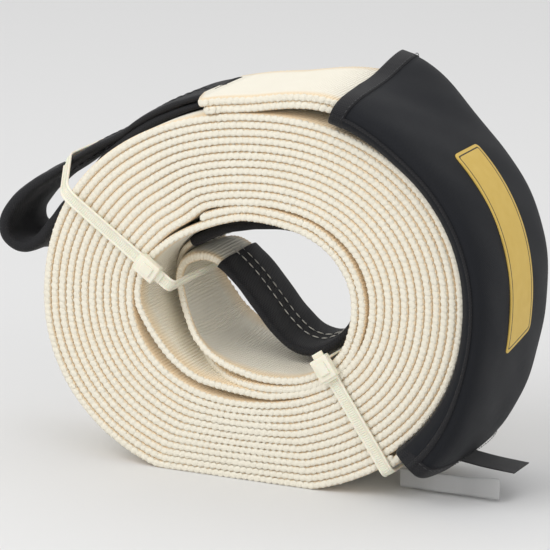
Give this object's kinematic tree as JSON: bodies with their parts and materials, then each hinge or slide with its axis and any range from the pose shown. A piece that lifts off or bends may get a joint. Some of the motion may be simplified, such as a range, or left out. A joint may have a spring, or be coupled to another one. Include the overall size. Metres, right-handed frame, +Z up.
{
  "type": "tow strap",
  "caption": "Wide nylon recovery strap wound into an upright coil, with sleeved eyes, a padded wear sleeve and cable ties holding the turns.",
  "frame": {"origin": "under the middle of the whole strap, on the surface that the coil rests on", "axes": "+Z up, -Y towards the end face of the coil that shows its turns, +X along the coil's width, away from the outer eye"},
  "size_m": [0.3836, 0.12, 0.2746],
  "materials": {
    "webbing": "cream woven nylon webbing, matt with a faint sheen",
    "eye_weave": "black woven protective sleeve, matt",
    "neoprene": "bluish black neoprene with a knitted face, matt",
    "print": "gold print, flat",
    "tie_nylon": "natural nylon, slightly glossy",
    "label_black": "black woven tape",
    "label_white": "pale grey printed tape, left blank"
  },
  "bodies": {
    "root": {"strap_coil": "webbing", "strap_inner_eye": "webbing", "inner_eye_sleeve": "eye_weave", "strap_outer_end": "webbing", "outer_eye_sleeve": "eye_weave", "wear_sleeve": "neoprene", "print_panel": "print", "cable_tie_lower": "tie_nylon", "cable_tie_upper": "tie_nylon", "label_tape": "label_black", "label_tag": "label_white"}
  },
  "joints": []
}
